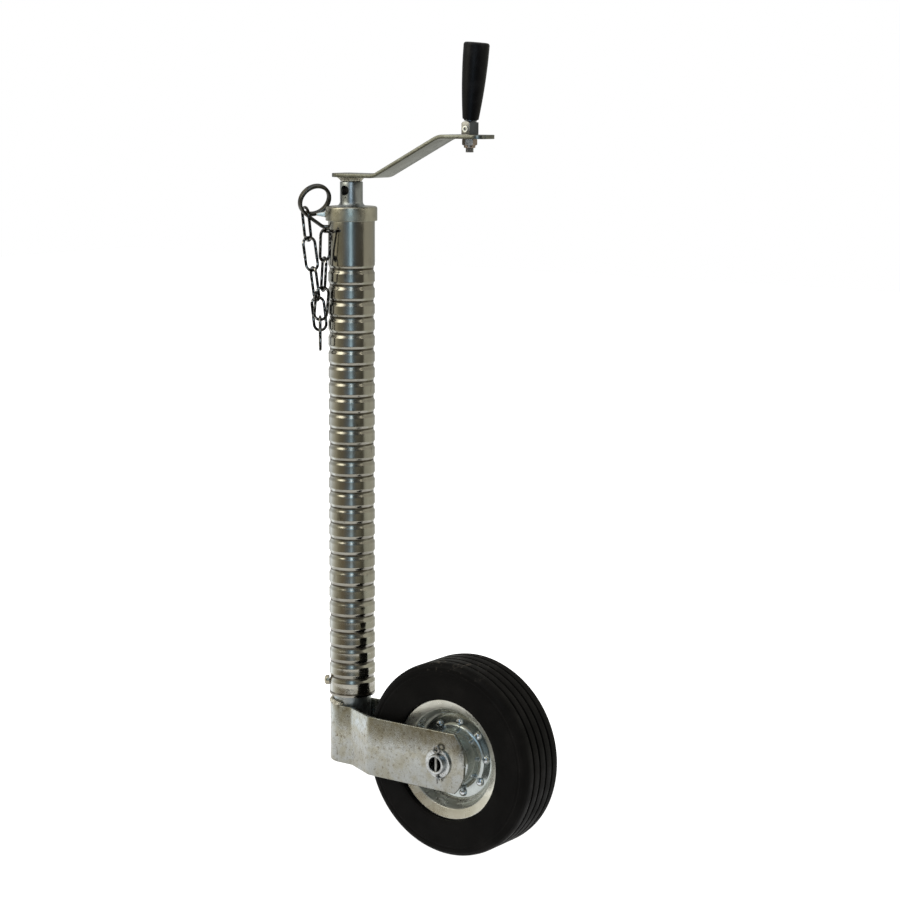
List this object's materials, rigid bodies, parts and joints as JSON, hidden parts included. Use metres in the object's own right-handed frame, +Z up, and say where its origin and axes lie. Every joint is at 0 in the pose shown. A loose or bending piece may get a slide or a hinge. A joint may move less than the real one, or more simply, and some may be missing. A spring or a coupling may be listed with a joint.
{
  "type": "jockey wheel",
  "caption": "Ribbed-tube jockey wheel with cranked spindle, folding grip, flared fork, rubber-tyred wheel and a locking ring pin on a chain.",
  "frame": {"origin": "on the ribbed tube's axis, at the middle of the land between grooves that the drawbar clamp grips", "axes": "+Z up the tube towards the crank, +X from the tube's axis towards the wheel and the crank's grip, Y along the wheel's axle"},
  "size_m": [0.2854, 0.0948, 0.8174],
  "materials": {
    "tube_zinc": "polished galvanised steel with rolled grooves",
    "cap_zinc": "satin zinc plating",
    "neck_zinc": "blue-grey satin zinc",
    "bare_steel": "oiled steel",
    "stud_brass": "yellow passivated",
    "spring_steel": "dark spring steel",
    "chain_steel": "bright zinc-plated wire",
    "weld_metal": "plated weld bead",
    "crank_zinc": "yellowish zinc plating",
    "clevis_steel": "satin steel",
    "nut_zinc": "zinc plating",
    "grip_plastic": "matt black plastic",
    "fork_zinc": "matt beige-grey zinc with stains",
    "axle_zinc": "satin zinc",
    "pin_steel": "drawn steel wire",
    "rim_zinc": "pressed zinc-plated sheet",
    "hub_zinc": "green-grey zinc",
    "rivet_zinc": "zinc-plated rivets",
    "tyre_rubber": "black rubber"
  },
  "bodies": {
    "housing": {"outer_tube": "tube_zinc", "cap": "cap_zinc", "cap_lug": "cap_zinc", "neck_sleeve": "neck_zinc", "thrust_washer": "bare_steel", "lower_stud": "stud_brass", "ring_pin": "spring_steel", "chain_eyelet": "chain_steel", "chain_link_1": "chain_steel", "chain_link_2": "chain_steel", "chain_link_3": "chain_steel", "chain_link_4": "chain_steel", "chain_link_5": "chain_steel", "chain_link_6": "chain_steel", "chain_link_7": "chain_steel", "chain_link_8": "chain_steel"},
    "crank": {"spindle": "bare_steel", "crank_weld": "weld_metal", "crank_arm": "crank_zinc", "grip_clevis": "clevis_steel", "clevis_rivet": "clevis_steel", "clevis_nut": "nut_zinc"},
    "stem": {"grip_stem": "clevis_steel"},
    "handle": {"grip": "grip_plastic"},
    "lift": {"lift_nut": "bare_steel"},
    "leg": {"inner_tube": "bare_steel", "fork": "fork_zinc", "fork_weld": "weld_metal", "axle": "axle_zinc", "axle_washer_near": "axle_zinc", "axle_washer_far": "axle_zinc", "axle_spacer_near": "axle_zinc", "axle_spacer_far": "axle_zinc", "split_pin_near": "pin_steel", "split_pin_far": "pin_steel"},
    "wheel": {"tyre": "tyre_rubber", "rim_near": "rim_zinc", "rim_far": "rim_zinc", "hub_near": "hub_zinc", "hub_far": "hub_zinc", "bearing_near": "bare_steel", "bearing_far": "bare_steel", "hub_rivets_near": "rivet_zinc", "hub_rivets_far": "rivet_zinc"}
  },
  "joints": [
    {"name": "crank_turn", "type": "hinge", "parent": "housing", "child": "crank", "pos_m": [0, 0, 0], "axis": [0, 0, 1], "range_deg": [-20700, 0]},
    {"name": "leg_lift", "type": "slide", "parent": "housing", "child": "lift", "axis": [0, 0, 1], "range_m": [-0.23, 0]},
    {"name": "leg_swivel", "type": "hinge", "parent": "lift", "child": "leg", "pos_m": [0, 0, 0], "axis": [0, 0, 1], "continuous": true},
    {"name": "wheel_spin", "type": "hinge", "parent": "leg", "child": "wheel", "pos_m": [0.143, 0, -0.28331], "axis": [0, 1, 0], "continuous": true},
    {"name": "grip_fold", "type": "hinge", "parent": "crank", "child": "stem", "pos_m": [0.148, 0, 0.34969], "axis": [0, 1, 0], "range_deg": [-76, 0]},
    {"name": "grip_spin", "type": "hinge", "parent": "stem", "child": "handle", "pos_m": [0.148, 0, 0.34969], "axis": [0.0941, 0, 0.9956], "continuous": true}
  ],
  "couplings": [
    {"joint": "leg_lift", "follows": "crank_turn", "m_per_rad": 0.00063662}
  ]
}
